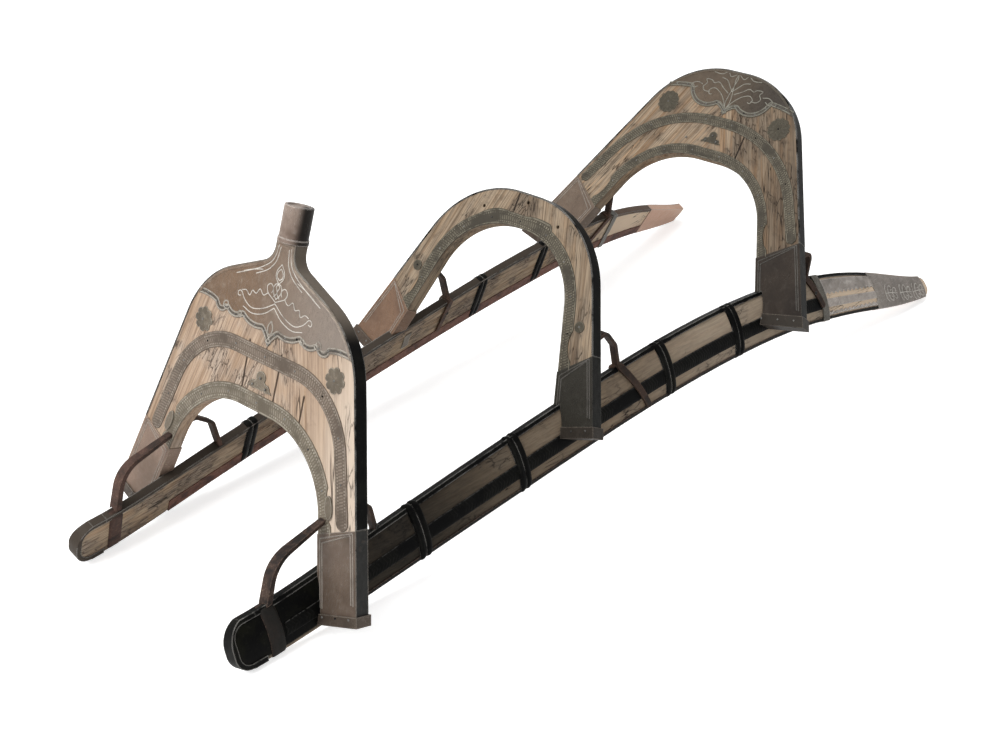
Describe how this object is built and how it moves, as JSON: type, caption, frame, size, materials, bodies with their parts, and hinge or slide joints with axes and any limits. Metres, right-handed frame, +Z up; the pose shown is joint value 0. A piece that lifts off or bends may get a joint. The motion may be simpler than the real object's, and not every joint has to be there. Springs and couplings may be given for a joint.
{
  "type": "camel saddle frame",
  "caption": "Two-seat riding camel saddle frame: bowed side rails carry a pommel arch with a horn, a low middle arch and a tall rear arch, all bound and plated in old sheet metal",
  "frame": {"origin": "on the floor, under the middle of the whole object", "axes": "+X runs from the horn end to the rear, +Y to the right-hand rail, +Z up"},
  "size_m": [1.6015, 0.6224, 0.5063],
  "materials": {
    "old_wood": "weathered, bare, grey-brown with open cracks",
    "bronze_sheet": "dark brown patina, worn on the edges, scratched ornament",
    "brass_band": "olive-grey patina, punched",
    "horn_brass": "reddish-brown patina, rubbed",
    "black_iron": "near-black, rubbed",
    "rusty_iron": "forged, dry red-brown rust",
    "grey_sheet": "dull silvery grey, tarnished"
  },
  "bodies": {
    "root": {"binding_bands_left": "black_iron", "binding_bands_right": "black_iron", "bow_leaf_left": "brass_band", "bow_leaf_right": "brass_band", "bow_strap_left": "rusty_iron", "bow_strap_right": "rusty_iron", "edge_strip_left": "black_iron", "edge_strip_right": "black_iron", "face_strip_left": "black_iron", "face_strip_right": "black_iron", "front_arch_left": "old_wood", "front_arch_right": "old_wood", "front_bow_left": "rusty_iron", "front_bow_right": "rusty_iron", "front_braces": "rusty_iron", "front_casing_left": "bronze_sheet", "front_casing_right": "bronze_sheet", "front_collars": "bronze_sheet", "front_crest_plate": "bronze_sheet", "front_edge_binding": "black_iron", "front_inner_band": "brass_band", "front_keystone": "old_wood", "front_outer_band": "brass_band", "front_rosettes": "brass_band", "front_trefoil": "brass_band", "horn_ferrule": "horn_brass", "leg_dowels": "old_wood", "lower_strip_left": "rusty_iron", "lower_strip_right": "rusty_iron", "middle_arch_left": "old_wood", "middle_arch_right": "old_wood", "middle_braces": "rusty_iron", "middle_casing_left": "bronze_sheet", "middle_casing_right": "bronze_sheet", "middle_collars": "bronze_sheet", "middle_discs": "brass_band", "middle_edge_binding": "black_iron", "middle_inner_band": "brass_band", "rail_leaf_plates": "grey_sheet", "rail_left": "old_wood", "rail_right": "old_wood", "rear_arch_left": "old_wood", "rear_arch_right": "old_wood", "rear_braces": "rusty_iron", "rear_casing_left": "bronze_sheet", "rear_casing_right": "bronze_sheet", "rear_collars": "bronze_sheet", "rear_crest_plate": "bronze_sheet", "rear_edge_binding": "black_iron", "rear_inner_band": "brass_band", "rear_outer_band": "brass_band", "rear_rosettes": "brass_band", "rear_strap_left": "grey_sheet", "rear_strap_right": "grey_sheet", "rear_trefoil": "brass_band", "tail_plates_left": "grey_sheet", "tail_plates_right": "grey_sheet", "tail_sheath_left": "bronze_sheet", "tail_sheath_right": "bronze_sheet"}
  },
  "joints": []
}
